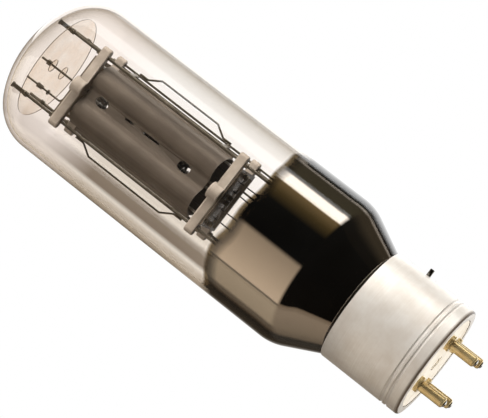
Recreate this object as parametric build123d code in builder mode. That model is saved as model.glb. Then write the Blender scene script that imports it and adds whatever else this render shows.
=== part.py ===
from build123d import *
import os
from math import acos, atan2, cos, degrees, hypot, radians, sin, sqrt, tan

# Directly heated power triode with a bayonet base: a glass bulb on a round metal base with four
# contact pins, and inside it a ceramic-barred cage that holds a two-lobed anode, two grids and two
# filaments.  Millimetres.  +Z is the tube's axis, the origin lies between the tips of the pins,
# -Y is the front and +X the side of the bayonet pin.

os.makedirs("parts", exist_ok=True)

# ---- driving dimensions ------------------------------------------------------------------
# heights that say "above the rim" start at the lower rim of the base shell

# base
base_diameter = 47.0
base_height = 35.4
shell_wall = 0.5
shell_corner = 1.0          # rounding where the wall turns into the lip
lip_width = 3.6             # flat ring that the wafer rests on
groove_depth = 0.45
groove_width = 1.35
lower_groove_height = 5.4   # above the rim
groove_pitch = 2.1          # from the lower groove to the upper one
fit = 0.1                   # clearance of pieces that drop into each other
wafer_recess = 0.2
dimple_diameter = 6.4
dimple_depth = 0.8
pin_diameter = 4.2
pin_circle = 26.2
pin_reach = 12.0            # metal of the pin below the rim
pin_bore = 1.5
pin_flange_diameter = 6.4
pin_flange_height = 1.6
pin_head_diameter = 5.6
pin_head_height = 0.6
solder_diameter = 2.8
solder_height = 0.7
bayonet_diameter = 1.8
bayonet_reach = 2.9
bayonet_shank_diameter = 2.3
bayonet_height = 22.2       # above the rim
bayonet_root = 1.6          # length that stands in the cement

# bulb
bulb_diameter = 64.0
glass_wall = 1.5
shoulder_angle = 27.0       # slope of the lower cone, from the axis
shoulder_radius = 20.0
neck_diameter = 41.0
neck_radius = 6.0           # blend from the neck into the cone
neck_foot = 12.0            # above the rim
crown_radius = 45.0
knuckle_radius = 18.0
dome_rise = 13.0            # top of the dome, above the top mica
film_thickness = 0.1
film_foot = 31.5            # above the rim
film_length = 58.5

# stem
stem_diameter = 18.0
flare_radius = 8.0
stem_length = 38.0          # from the flare to the start of the press
press_width = 24.0
press_depth = 7.0
press_taper = 6.0
press_height = 10.0
exhaust_diameter = 6.4
exhaust_wall = 1.0
exhaust_length = 34.0
clamp_wall = 0.8
clamp_height = 8.0
clamp_drop = 10.0           # top of the clamp below the press
lead_diameter = 0.8
lead_spacing = 6.0
base_lead_diameter = 1.0
base_lead_circle = 10.8
base_lead_level = 8.2       # above the rim
lead_bend = 1.4

# cage
cage_foot = 99.9            # underside of the lower bars, above the rim
bar_end = 3.3               # from a rod to the end of its bar
bar_depth = 3.4
bar_height = 4.0
bar_edge = 0.6
bar_offset = 10.5           # from the axis to the middle of a bar
boss_diameter = 6.8
boss_rise = 1.2
deck_width = 26.0
deck_thickness = 0.55
deck_clearance = 0.35      # round the filament legs
rod_diameter = 1.2
rod_span = 29.8             # across a pair of rods
rod_knee = 50.0             # above the rim, where a rod leaves the stem clamp
rod_shoulder = 68.0         # above the rim, where it stands upright again
rod_bend = 4.0
collar_diameter = 2.1
collar_height = 1.2
cap_diameter = 2.3
cap_height = 0.5
cap_sleeve_diameter = 1.7
glass_gap = 0.3             # from the caps to the dome

# anode
anode_height = 58.9
anode_gap = 4.1             # from the lower bars up to the anode
anode_head_gap = 0.3        # from the anode up to the upper bars
lobe_width = 13.2
lobe_depth = 21.2
lobe_offset = 6.7
waist_width = 5.2
waist_depth = 15.6
waist_fillet = 1.4
anode_wall = 0.45
flange_width = 2.0
flange_notch = 2.4
window_width = 3.7
window_height = 5.6
upper_window_inset = 7.4    # from the anode's top to the middle of the window
lower_window_inset = 10.8
slot_width = 0.8
slot_length = 4.0
slot_offset = 0.9           # from the middle of the waist
upper_slot_inset = 20.3
lower_slot_inset = 31.2

# outer wires and bows beside the anode
outer_wire_diameter = 0.9
outer_wire_step = 1.5       # from a back rod out to the wire
bow_diameter = 0.8
bow_reach = 3.0             # from the outer wire to the bow
left_bow_drop = 5.6         # from the upper bars to the bow's upper weld
right_bow_drop = 11.0
left_bow_rise = 12.0        # from the lower bars to the bow's lower weld
right_bow_rise = 14.6
bow_leg = 4.0
bow_slant = 4.9
bow_bend = 1.6
tie_height = 2.0
tie_thickness = 0.5
tie_inset = 6.5             # from the anode's ends

# grids
grid_rod_diameter = 1.0
grid_inner = 1.15           # from the axis to the inner rod
grid_outer = 11.0
grid_depth = 6.4
grid_wire = 0.3
grid_pitch = 2.2
grid_margin = 4.0           # winding ends inside the anode by this much
grid_tail = 3.4             # rods below the lower bars
grid_head = 1.8             # rods above the upper deck
strap_height = 1.4
strap_thickness = 0.5

# filaments
filament_diameter = 0.5
filament_offset = 6.1       # middle of a lobe's filament from the axis
filament_spread = 2.2       # foot of a leg from the middle
filament_tail = 8.0         # legs below the lower bars
hook_diameter = 0.8
hook_drop = 1.0             # below the underside of the upper bars
hook_offset = 1.2           # the hook's shank stands behind the filament
hook_bend = 0.9
tension_offset = 9.8        # the sprung shank from the axis
tension_rise = 8.0          # end of the sprung shank above the mica
tension_foot = 4.65         # from the upper deck to where the shank turns inwards
spring_wire = 0.3
spring_diameter = 1.9
spring_length = 1.9
spring_turns = 4
stop_drop = 2.2             # lower stop below the mica
bus_width = 1.2
bus_thickness = 0.6
bus_offset = 2.2            # middle of the outer bus from the filament plane

# top mica and centre post
mica_diameter = 44.9
mica_thickness = 0.3
mica_rise = 13.8            # above the upper bars
post_diameter = 0.9
post_head = 3.4             # above the mica
post_foot = 0.8             # below the boss
washer_diameter = 5.5
washer_thickness = 0.3
washer_drop = 1.9           # upper washer below the mica
washer_pitch = 5.0

# getter
getter_diameter = 12.0
getter_section = 2.4
getter_height = 76.0        # above the rim
getter_offset = 15.0
getter_wire = 0.8

# ---- places worked out from the sizes ------------------------------------------------------
rim = pin_reach + solder_height
shell_r = base_diameter / 2
bore_r = shell_r - shell_wall
pin_r = pin_circle / 2
wafer_face = rim + wafer_recess
wafer_top = rim + lower_groove_height - groove_width / 2 - fit
shell_top = rim + base_height
bulb_r = bulb_diameter / 2
neck_r = neck_diameter / 2
neck_bottom = rim + neck_foot
stem_r = stem_diameter / 2
press_bottom = neck_bottom + stem_length
press_top = press_bottom + press_taper + press_height

lower_bar = rim + cage_foot
anode_bottom = lower_bar + bar_height + anode_gap
anode_top = anode_bottom + anode_height
upper_bar = anode_top + anode_head_gap
upper_bar_top = upper_bar + bar_height
upper_deck_top = upper_bar_top + deck_thickness
lower_deck_bottom = lower_bar - deck_thickness
mica_bottom = upper_bar_top + mica_rise - mica_thickness / 2
mica_top = mica_bottom + mica_thickness
bulb_top = upper_bar_top + mica_rise + dome_rise
rod_x = rod_span / 2
wire_x = rod_x + outer_wire_step
bar_length = rod_span + 2 * bar_end

# geometry of the bulb's profile: the cone leaves the shell's mouth, and the crown and the knuckle
# meet where the line through their centres cuts them
cone = radians(shoulder_angle)
cone_r = bore_r - fit
shoulder_r = bulb_r - shoulder_radius
shoulder_foot_r = bulb_r - shoulder_radius * (1 - cos(cone))
shoulder_z = shell_top + (shoulder_foot_r - cone_r) / tan(cone) + shoulder_radius * sin(cone)
blend_r = neck_r + neck_radius
blend_z = shell_top + ((blend_r - cone_r) * cos(cone) - neck_radius) / sin(cone)
crown_z = bulb_top - crown_radius
knuckle_r = bulb_r - knuckle_radius
knuckle_z = crown_z + sqrt((crown_radius - knuckle_radius) ** 2 - knuckle_r**2)
knuckle_angle = degrees(atan2(knuckle_z - crown_z, knuckle_r))


def dome_inside(radius):
    """Height of the dome's inner face at a distance from the axis."""
    return crown_z + sqrt((crown_radius - glass_wall) ** 2 - radius**2)


def bulb_line(inset):
    """The bulb's profile from the neck to the crown, moved inwards by inset."""
    neck = CenterArc((blend_r, blend_z), neck_radius + inset, 180, -shoulder_angle)
    turn = shoulder_radius - inset
    shoulder = CenterArc((shoulder_r, shoulder_z), turn, -shoulder_angle, shoulder_angle)
    knuckle = CenterArc((knuckle_r, knuckle_z), knuckle_radius - inset, 0, knuckle_angle)
    crown = CenterArc((0, crown_z), crown_radius - inset, knuckle_angle, 90 - knuckle_angle)
    Line((neck_r - inset, neck_bottom), neck @ 0)
    Line(neck @ 1, shoulder @ 0)
    Line(shoulder @ 1, knuckle @ 0)
    return crown @ 1


def write(part, name):
    """Label a finished piece and write it under its own name."""
    part.label = name
    export_step(part, f"parts/{name}.step")


# ---- glass envelope: blown bulb with a drawn-in neck ---------------------------------------
with BuildPart() as glass_envelope:
    with BuildSketch(Plane.XZ):
        with BuildLine():
            outer_top = bulb_line(0)
            inner_top = bulb_line(glass_wall)
            Line(outer_top, inner_top)
            Line((neck_r, neck_bottom), (neck_r - glass_wall, neck_bottom))
        make_face()
    revolve(axis=Axis.Z)
write(glass_envelope.part, "glass_envelope")

# ---- getter film: mirror deposited on the inside of the lower bulb -------------------------
with BuildPart() as getter_film:
    with BuildSketch(Plane.XZ):
        with BuildLine():
            film_outer = bulb_line(glass_wall)
            film_inner = bulb_line(glass_wall + film_thickness)
            Line(film_outer, film_inner)
            Line((neck_r - glass_wall, neck_bottom), (neck_r - glass_wall - film_thickness, neck_bottom))
        make_face()
    revolve(axis=Axis.Z)
    split(bisect_by=Plane.XY.offset(rim + film_foot + film_length), keep=Keep.BOTTOM)
    split(bisect_by=Plane.XY.offset(rim + film_foot), keep=Keep.TOP)
write(getter_film.part, "getter_film")

# ---- base shell: pressed cup with a turned-in lip and two rolled grooves -------------------
lower_groove = rim + lower_groove_height
upper_groove = lower_groove + groove_pitch


def shell_line(inset):
    """One face of the shell, from the lip's inner edge to the mouth."""
    wall_r = shell_r - inset
    lip = Line((shell_r - lip_width, rim + inset), (shell_r - shell_corner, rim + inset))
    corner = RadiusArc(lip @ 1, (wall_r, rim + shell_corner), -(shell_corner - inset))
    start = corner @ 1
    for groove in (lower_groove, upper_groove):
        foot = (wall_r, groove - groove_width / 2)
        Line(start, foot)
        roll = ThreePointArc(foot, (wall_r - groove_depth, groove), (wall_r, groove + groove_width / 2))
        start = roll @ 1
    wall = Line(start, (wall_r, shell_top))
    return wall @ 1


with BuildPart() as base_shell:
    with BuildSketch(Plane.XZ):
        with BuildLine():
            outer_mouth = shell_line(0)
            inner_mouth = shell_line(shell_wall)
            Line(outer_mouth, inner_mouth)
            Line((shell_r - lip_width, rim), (shell_r - lip_width, rim + shell_wall))
        make_face()
    revolve(axis=Axis.Z)
    with BuildSketch(Plane.YZ.offset(bore_r - shell_wall)):
        with Locations((0, rim + bayonet_height)):
            Circle(bayonet_shank_diameter / 2)
    extrude(amount=2 * shell_wall + fit, mode=Mode.SUBTRACT)
write(base_shell.part, "base_shell")

# ---- base wafer: ceramic disc that carries the pins ----------------------------------------
with BuildPart() as base_wafer:
    with BuildSketch(Plane.XY.offset(rim + shell_wall)):
        Circle(bore_r - fit)
    extrude(amount=wafer_top - rim - shell_wall)
    fillet(base_wafer.edges().group_by(Axis.Z)[0], shell_corner - shell_wall + fit)
    with BuildSketch(Plane.XY.offset(wafer_face)):
        Circle(shell_r - lip_width - fit)
    extrude(amount=shell_wall)
    with BuildSketch(Plane.XY.offset(wafer_face)):
        Circle(dimple_diameter / 2)
    extrude(amount=dimple_depth, mode=Mode.SUBTRACT)
    with BuildSketch(Plane.XY.offset(wafer_face)):
        with PolarLocations(pin_r, 4, start_angle=45):
            Circle(pin_diameter / 2)
    extrude(amount=base_height, mode=Mode.SUBTRACT)
write(base_wafer.part, "base_wafer")

# ---- cement: ring that bonds the neck into the shell ---------------------------------------
with BuildPart() as base_cement:
    with BuildSketch(Plane.XY.offset(neck_bottom + fit)):
        Circle(bore_r)
        Circle(neck_r, mode=Mode.SUBTRACT)
    extrude(amount=blend_z - neck_bottom - 2 * fit)
    with BuildSketch(Plane.YZ.offset(bore_r - bayonet_root)):
        with Locations((0, rim + bayonet_height)):
            Circle(bayonet_shank_diameter / 2)
    extrude(amount=2 * bayonet_root, mode=Mode.SUBTRACT)
write(base_cement.part, "base_cement")

# ---- bayonet pin: shouldered pin driven through the shell -----------------------------------
with BuildPart() as bayonet_pin:
    with BuildSketch(Plane.YZ.offset(bore_r - bayonet_root)):
        with Locations((0, rim + bayonet_height)):
            Circle(bayonet_shank_diameter / 2)
    extrude(amount=bayonet_root + shell_wall)
    with BuildSketch(Plane.YZ.offset(shell_r)):
        with Locations((0, rim + bayonet_height)):
            Circle(bayonet_diameter / 2)
    extrude(amount=bayonet_reach)
    fillet(bayonet_pin.edges().filter_by(GeomType.CIRCLE).group_by(Axis.X)[-1], bayonet_diameter / 6)
write(bayonet_pin.part, "bayonet_pin")

# ---- contact pins: turned tubes, flanged below the wafer and swaged above it ---------------
pin_tip = rim - pin_reach
pin_names = ("pin_filament_right", "pin_anode", "pin_filament_left", "pin_grid")
for index, pin_name in enumerate(pin_names):
    turn = radians(45 + 90 * index)
    place = Plane((pin_r * cos(turn), pin_r * sin(turn), 0))
    with BuildPart() as contact_pin:
        with BuildSketch(place.offset(pin_tip)):
            Circle(pin_diameter / 2)
        extrude(amount=wafer_top - pin_tip)
        with BuildSketch(place.offset(wafer_face - pin_flange_height)):
            Circle(pin_flange_diameter / 2)
        extrude(amount=pin_flange_height)
        with BuildSketch(place.offset(wafer_top)):
            Circle(pin_head_diameter / 2)
        extrude(amount=pin_head_height)
        fillet(contact_pin.edges().group_by(Axis.Z)[0], pin_diameter / 6)
        with BuildSketch(place.offset(pin_tip)):
            Circle(pin_bore / 2)
        extrude(amount=wafer_top + pin_head_height - pin_tip, mode=Mode.SUBTRACT)
    write(contact_pin.part, pin_name)

# ---- solder: drop that closes each pin -----------------------------------------------------
with BuildPart() as pin_solder:
    with BuildSketch():
        with PolarLocations(pin_r, 4, start_angle=45):
            Circle(solder_diameter / 2)
    extrude(amount=solder_height)
    fillet(pin_solder.edges().group_by(Axis.Z)[0], solder_height * 0.8)
write(pin_solder.part, "pin_solder")

# ---- stem: glass flare and tube, flattened on top into the press that seals the leads -------
flare_level = neck_bottom + flare_radius
flare_centre = stem_r + flare_radius
with BuildPart() as glass_stem:
    with BuildSketch(Plane.XZ):
        with BuildLine():
            upper_turn = CenterArc((flare_centre, flare_level), flare_radius, 180, 90)
            lower_turn = CenterArc((flare_centre, flare_level), flare_radius + glass_wall, 180, 90)
            Line((neck_r, neck_bottom), upper_turn @ 1)
            Line((neck_r, neck_bottom), (neck_r, neck_bottom - glass_wall))
            Line((neck_r, neck_bottom - glass_wall), lower_turn @ 1)
            Line(upper_turn @ 0, (stem_r, press_bottom))
            Line(lower_turn @ 0, (stem_r - glass_wall, press_bottom))
            Line((stem_r, press_bottom), (stem_r - glass_wall, press_bottom))
        make_face()
    revolve(axis=Axis.Z)
    with BuildSketch(Plane.XY.offset(press_bottom)):
        Circle(stem_r)
    with BuildSketch(Plane.XY.offset(press_bottom + press_taper)):
        SlotOverall(press_width, press_depth)
    loft()
    with BuildSketch(Plane.XY.offset(press_bottom + press_taper)):
        SlotOverall(press_width, press_depth)
    extrude(amount=press_height)
write(glass_stem.part, "glass_stem")

# ---- exhaust tube: drawn off and sealed after pumping, inside the stem ----------------------
exhaust_r = exhaust_diameter / 2
with BuildPart() as exhaust_tube:
    with BuildSketch(Plane.XY.offset(press_bottom)):
        Circle(exhaust_r)
    extrude(amount=-exhaust_length)
    fillet(exhaust_tube.edges().group_by(Axis.Z)[0], exhaust_r * 0.8)
    with BuildSketch(Plane.XY.offset(press_bottom)):
        Circle(exhaust_r - exhaust_wall)
    extrude(amount=-(exhaust_length - exhaust_r), mode=Mode.SUBTRACT)
write(exhaust_tube.part, "exhaust_tube")

# ---- base leads: wires from the press through the pins to the solder ------------------------
base_lead_r = base_lead_circle / 2
lead_level = rim + base_lead_level
with BuildPart() as base_leads:
    for index in range(4):
        turn = radians(45 + 90 * index)
        outwards = (cos(turn), sin(turn), 0)
        slice_plane = Plane((0, 0, 0), x_dir=outwards, z_dir=(outwards[1], -outwards[0], 0))
        with BuildLine(slice_plane) as route:
            FilletPolyline(
                (base_lead_r, press_bottom),
                (base_lead_r, lead_level),
                (pin_r, lead_level),
                (pin_r, solder_height),
                radius=lead_bend,
            )
        start = Plane(origin=route.line @ 0, z_dir=route.line % 0)
        with BuildSketch(start):
            Circle(base_lead_diameter / 2)
        sweep(path=route.line)
write(base_leads.part, "base_leads")

# ---- stem clamp: steel band on the stem, with the feet of the four rods welded to it --------
clamp_r = stem_r + clamp_wall
clamp_top = press_bottom - clamp_drop
with BuildPart() as stem_clamp:
    with BuildSketch(Plane.XY.offset(clamp_top)):
        Circle(clamp_r)
        Circle(stem_r, mode=Mode.SUBTRACT)
    extrude(amount=-clamp_height)
write(stem_clamp.part, "stem_clamp")


# ---- ceramic bars: two below and two above the anode ----------------------------------------
def ceramic_bar(plane, hole_places):
    """A pressed bar with round ends and a round boss in its middle, drilled for its rods."""
    with BuildPart() as bar:
        with BuildSketch(plane):
            SlotOverall(bar_length, bar_depth)
        extrude(amount=bar_height)
        fillet(bar.edges().group_by(Axis.Z)[-1] + bar.edges().group_by(Axis.Z)[0], bar_edge)
        with BuildSketch(Plane(plane.origin, x_dir=(1, 0, 0), z_dir=(0, -1, 0))) as boss:
            with Locations((boss_diameter / 4, (bar_height + boss_rise) / 2)):
                Rectangle(boss_diameter / 2, bar_height + boss_rise)
            fillet(boss.vertices().sort_by(Axis.X)[-2:], bar_edge)
        revolve(axis=Axis(plane.origin, (0, 0, 1)))
        with BuildSketch(plane):
            for place, diameter in hole_places:
                with Locations((place, 0), (-place, 0)):
                    Circle(diameter / 2)
        extrude(amount=bar_height + boss_rise, mode=Mode.SUBTRACT)
    return bar.part


rod_hole = (rod_x, rod_diameter)
wire_hole = (wire_x, outer_wire_diameter)
bar_front = Plane((0, -bar_offset, 0))
bar_back = Plane((0, bar_offset, 0))
write(ceramic_bar(bar_front.offset(lower_bar), [rod_hole]), "lower_bar_front")
write(ceramic_bar(bar_back.offset(lower_bar), [rod_hole, wire_hole]), "lower_bar_back")
write(ceramic_bar(bar_front.offset(upper_bar), [rod_hole, (0, post_diameter)]), "upper_bar_front")
write(ceramic_bar(bar_back.offset(upper_bar), [rod_hole, wire_hole]), "upper_bar_back")

# ---- mica decks: thin plates across each pair of bars that space the grids and filaments ----
deck_depth = 2 * bar_offset + bar_depth - 2 * bar_edge
filament_feet = [
    side * (filament_offset + leg * filament_spread) for side in (-1, 1) for leg in (-1, 1)
]
grid_places = [side * place for side in (-1, 1) for place in (grid_inner, grid_outer)]

with BuildPart() as upper_deck:
    with BuildSketch(Plane.XY.offset(upper_bar_top)):
        Rectangle(deck_width, deck_depth)
        with Locations((0, bar_offset), (0, -bar_offset)):
            Circle(boss_diameter / 2 + fit, mode=Mode.SUBTRACT)
        for place in grid_places:
            with Locations((place, 0)):
                Circle(grid_rod_diameter / 2, mode=Mode.SUBTRACT)
        with Locations((filament_offset, hook_offset), (-filament_offset, hook_offset)):
            Circle(hook_diameter / 2, mode=Mode.SUBTRACT)
    extrude(amount=deck_thickness)
write(upper_deck.part, "upper_deck")

with BuildPart() as lower_deck:
    with BuildSketch(Plane.XY.offset(lower_deck_bottom)):
        Rectangle(deck_width, deck_depth)
        for place in grid_places:
            with Locations((place, 0)):
                Circle(grid_rod_diameter / 2, mode=Mode.SUBTRACT)
        for place in filament_feet:
            with Locations((place, 0)):
                Circle(filament_diameter / 2 + deck_clearance, mode=Mode.SUBTRACT)
    extrude(amount=deck_thickness)
write(lower_deck.part, "lower_deck")

# ---- side rods: four posts from the stem clamp through the bars and the mica to the dome ----
rod_r = hypot(rod_x, bar_offset)
rod_foot_r = clamp_r + rod_diameter / 2
rod_top = dome_inside(rod_r + cap_diameter / 2) - glass_gap - cap_height
rod_corners = {
    "side_rod_front_left": (-rod_x, -bar_offset),
    "side_rod_front_right": (rod_x, -bar_offset),
    "side_rod_back_left": (-rod_x, bar_offset),
    "side_rod_back_right": (rod_x, bar_offset),
}
for rod_name, (corner_x, corner_y) in rod_corners.items():
    outwards = (corner_x / rod_r, corner_y / rod_r, 0)
    radial = Plane(origin=(0, 0, 0), x_dir=outwards, z_dir=(outwards[1], -outwards[0], 0))
    with BuildPart() as side_rod:
        with BuildLine(radial) as route:
            FilletPolyline(
                (rod_foot_r, clamp_top - clamp_height),
                (rod_foot_r, rim + rod_knee),
                (rod_r, rim + rod_shoulder),
                (rod_r, rod_top),
                radius=rod_bend,
            )
        with BuildSketch(Plane(origin=route.line @ 0, z_dir=route.line % 0)):
            Circle(rod_diameter / 2)
        sweep(path=route.line)
    write(side_rod.part, rod_name)

# ---- rod collars: sleeves squeezed on the rods above and below the bars ---------------------
with BuildPart() as rod_collars:
    for level in (lower_bar - collar_height, upper_bar_top):
        with BuildSketch(Plane.XY.offset(level)):
            with Locations(*rod_corners.values()):
                Circle(collar_diameter / 2)
            with Locations(*rod_corners.values()):
                Circle(rod_diameter / 2, mode=Mode.SUBTRACT)
        extrude(amount=collar_height)
write(rod_collars.part, "rod_collars")

# ---- rod caps: headed sleeves on the front rods that bear on the dome -----------------------
front_corners = [(-rod_x, -bar_offset), (rod_x, -bar_offset)]
with BuildPart() as rod_caps:
    with BuildSketch(Plane.XY.offset(rod_top)):
        with Locations(*front_corners):
            Circle(cap_diameter / 2)
    extrude(amount=cap_height)
    with BuildSketch(Plane.XY.offset(mica_top + collar_height / 2)):
        with Locations(*front_corners):
            Circle(cap_sleeve_diameter / 2)
        with Locations(*front_corners):
            Circle(rod_diameter / 2, mode=Mode.SUBTRACT)
    extrude(amount=rod_top - mica_top - collar_height / 2)
write(rod_caps.part, "rod_caps")

# ---- anode: two pressed halves with a lobe on either side of a shallow waist ----------------
def lobes(inset):
    """The anode's outline raised to its height, moved inwards by inset."""
    with BuildPart() as figure:
        with BuildSketch(Plane.XY.offset(anode_bottom)):
            with Locations((-lobe_offset, 0), (lobe_offset, 0)):
                Ellipse(lobe_width / 2 - inset, lobe_depth / 2 - inset)
            Rectangle(waist_width, waist_depth - 2 * inset)
        extrude(amount=anode_height)
        fillet(figure.edges().filter_by(Axis.Z), waist_fillet + inset)
    return figure.part


with BuildPart() as anode_box:
    add(lobes(0))
    add(lobes(anode_wall), mode=Mode.SUBTRACT)
lobe_edge = lobe_offset + lobe_width / 2

for half_name, side, kept in (("anode_front", -1, Keep.BOTTOM), ("anode_back", 1, Keep.TOP)):
    with BuildPart() as anode_half:
        add(anode_box.part)
        split(bisect_by=Plane((0, 0, 0), x_dir=(1, 0, 0), z_dir=(0, 1, 0)), keep=kept)
        with BuildSketch(Plane.XY.offset(anode_bottom)):
            with Locations(
                (lobe_edge - anode_wall + flange_width / 2, side * anode_wall / 2),
                (-(lobe_edge - anode_wall + flange_width / 2), side * anode_wall / 2),
            ):
                Rectangle(flange_width, anode_wall)
        extrude(amount=anode_height - flange_notch)
        with BuildSketch(Plane.XZ):
            with Locations((0, anode_top - upper_window_inset), (0, anode_bottom + lower_window_inset)):
                SlotOverall(window_height, window_width, rotation=90)
            with Locations((slot_offset, anode_top - upper_slot_inset)):
                SlotOverall(slot_length, slot_width, rotation=90)
            with Locations((slot_offset, anode_top - lower_slot_inset)):
                SlotOverall(2 * slot_length, slot_width, rotation=90)
        extrude(amount=-side * lobe_depth, mode=Mode.SUBTRACT)
    write(anode_half.part, half_name)

# ---- outer wires: stand in the back bars' ends and carry the anode and the bows -------------
for name, side in (("outer_wire_left", -1), ("outer_wire_right", 1)):
    with BuildPart() as outer_wire:
        with BuildSketch(Plane((side * wire_x, bar_offset, lower_bar - collar_height))):
            Circle(outer_wire_diameter / 2)
        extrude(amount=upper_bar_top - lower_bar + collar_height)
    write(outer_wire.part, name)

bow_x = wire_x + (outer_wire_diameter + bow_diameter) / 2
bows = (
    ("side_bow_left", -1, left_bow_rise, left_bow_drop),
    ("side_bow_right", 1, right_bow_rise, right_bow_drop),
)
for name, side, bow_rise, bow_drop in bows:
    bow_foot = lower_bar + bar_height + bow_rise
    bow_head = upper_bar - bow_drop
    with BuildPart() as side_bow:
        with BuildLine(Plane.XZ.offset(-bar_offset)) as route:
            FilletPolyline(
                (side * bow_x, bow_foot - bow_leg),
                (side * bow_x, bow_foot),
                (side * (bow_x + bow_reach), bow_foot + bow_slant),
                (side * (bow_x + bow_reach), bow_head - bow_slant),
                (side * bow_x, bow_head),
                (side * bow_x, bow_head + bow_leg),
                radius=bow_bend,
            )
        with BuildSketch(Plane(origin=route.line @ 0, z_dir=route.line % 0)):
            Circle(bow_diameter / 2)
        sweep(path=route.line)
    write(side_bow.part, name)

# ---- anode ties: strips welded from the outer wires to the anode's flanges ------------------
flange_edge = lobe_edge - anode_wall + flange_width
wire_front = bar_offset - outer_wire_diameter / 2
with BuildPart() as anode_ties:
    for level in (anode_bottom + tie_inset, anode_top - tie_inset):
        for side in (-1, 1):
            with BuildSketch(Plane.XY.offset(level)):
                with BuildLine():
                    Polyline(
                        (side * (flange_edge - tie_thickness * 2), anode_wall),
                        (side * (flange_edge - tie_thickness * 2), anode_wall + tie_thickness),
                        (side * (wire_x - tie_thickness), wire_front),
                        (side * wire_x, wire_front),
                        (side * flange_edge, anode_wall),
                        close=True,
                    )
                make_face()
            extrude(amount=tie_height / 2, both=True)
write(anode_ties.part, "anode_ties")

# ---- grids: two rods in each lobe, wound with fine wire --------------------------------------
grid_bottom = lower_bar - grid_tail
grid_top = upper_deck_top + grid_head
for side_name, side in (("left", -1), ("right", 1)):
    with BuildPart() as grid_rods:
        with BuildSketch(Plane.XY.offset(grid_bottom)):
            with Locations((side * grid_inner, 0), (side * grid_outer, 0)):
                Circle(grid_rod_diameter / 2)
        extrude(amount=grid_top - grid_bottom)
    write(grid_rods.part, f"grid_rods_{side_name}")

    grid_middle = (grid_inner + grid_outer) / 2
    loop_y = grid_depth / 2
    wrap = (grid_rod_diameter + grid_wire) / 2 * hypot(1, 0.5) + fit / 2
    loop_x = (grid_outer - grid_inner) / 2 + wrap
    loop = [
        (loop_x, 0), (loop_x - loop_y / 2, loop_y), (loop_y / 2 - loop_x, loop_y),
        (-loop_x, 0), (loop_y / 2 - loop_x, -loop_y), (loop_x - loop_y / 2, -loop_y),
    ]
    turns = int((anode_height - 2 * grid_margin) / grid_pitch)
    corners = [
        (side * grid_middle + loop[step % 6][0], loop[step % 6][1],
         anode_bottom + grid_margin + step * grid_pitch / 6)
        for step in range(6 * turns + 1)
    ]
    with BuildPart() as grid_winding:
        with BuildLine() as route:
            Polyline(*corners)
        with BuildSketch(Plane(origin=route.line @ 0, z_dir=route.line % 0)):
            Rectangle(grid_wire, grid_wire)
        sweep(path=route.line, transition=Transition.RIGHT)
    write(grid_winding.part, f"grid_winding_{side_name}")

# ---- grid collars: hold the rods and the decks together, above and below ---------------------
with BuildPart() as grid_collars:
    for level in (lower_deck_bottom - collar_height, upper_deck_top):
        with BuildSketch(Plane.XY.offset(level)):
            with Locations(*[(place, 0) for place in grid_places]):
                Circle(collar_diameter / 2)
            with Locations(*[(place, 0) for place in grid_places]):
                Circle(grid_rod_diameter / 2, mode=Mode.SUBTRACT)
        extrude(amount=collar_height)
write(grid_collars.part, "grid_collars")

# ---- grid strap: joins the four grid rods below the cage -------------------------------------
strap_front = -(grid_rod_diameter / 2 + strap_thickness)
with BuildPart() as grid_strap:
    with BuildSketch(Plane.XY.offset(grid_bottom)):
        with Locations((0, strap_front + strap_thickness / 2)):
            Rectangle(2 * grid_outer + grid_rod_diameter, strap_thickness)
    extrude(amount=strap_height)
write(grid_strap.part, "grid_strap")

# ---- filaments: one hairpin in each lobe, hung over a hook at the top -------------------------
hook_level = upper_bar - hook_drop
hang_r = (hook_diameter + filament_diameter) / 2
filament_bottom = lower_bar - filament_tail
leg_fall = hook_level - filament_bottom
lean = acos(hang_r / hypot(filament_spread, leg_fall)) - atan2(leg_fall, filament_spread)
for side_name, side in (("left", -1), ("right", 1)):
    with BuildPart() as filament:
        with BuildLine(Plane.XZ) as route:
            top = CenterArc(
                (side * filament_offset, hook_level), hang_r, degrees(lean), 180 - 2 * degrees(lean)
            )
            Line((side * filament_offset + filament_spread, filament_bottom), top @ 0)
            Line(top @ 1, (side * filament_offset - filament_spread, filament_bottom))
        foot = Vector(side * filament_offset + filament_spread, 0, filament_bottom)
        with BuildSketch(Plane(origin=foot, z_dir=(top @ 0) - foot)):
            Circle(filament_diameter / 2)
        sweep(path=route.line)
    write(filament.part, f"filament_{side_name}")

# ---- filament buses: strips that join the feet of the filament legs ---------------------------
with BuildPart() as filament_bus_inner:
    with BuildSketch(Plane.XY.offset(filament_bottom)):
        Rectangle(2 * (filament_offset - filament_spread) + bus_width, bus_width)
    extrude(amount=-bus_thickness)
write(filament_bus_inner.part, "filament_bus_inner")

outer_foot = filament_offset + filament_spread
bus_leg_middle = (bus_offset - bus_width / 2) / 2
with BuildPart() as filament_bus_outer:
    with BuildSketch(Plane.XY.offset(filament_bottom)):
        with Locations((0, bus_offset)):
            Rectangle(2 * outer_foot + bus_width, bus_width)
        with Locations((-outer_foot, bus_leg_middle), (outer_foot, bus_leg_middle)):
            Rectangle(bus_width, bus_offset + bus_width / 2)
    extrude(amount=-bus_thickness)
write(filament_bus_outer.part, "filament_bus_outer")

# ---- filament hooks: the left one is sprung from the mica, the right one stands on its deck ----
shank_turn = upper_deck_top + tension_foot
with BuildPart() as filament_hook_left:
    with BuildLine() as route:
        FilletPolyline(
            (-tension_offset, hook_offset, mica_top + tension_rise),
            (-tension_offset, hook_offset, shank_turn),
            (-filament_offset, hook_offset, shank_turn - (tension_offset - filament_offset) / 2),
            (-filament_offset, hook_offset, hook_level),
            (-filament_offset, -hook_offset, hook_level),
            radius=hook_bend,
        )
    with BuildSketch(Plane(origin=route.line @ 0, z_dir=route.line % 0)):
        Circle(hook_diameter / 2)
    sweep(path=route.line)
write(filament_hook_left.part, "filament_hook_left")

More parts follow.
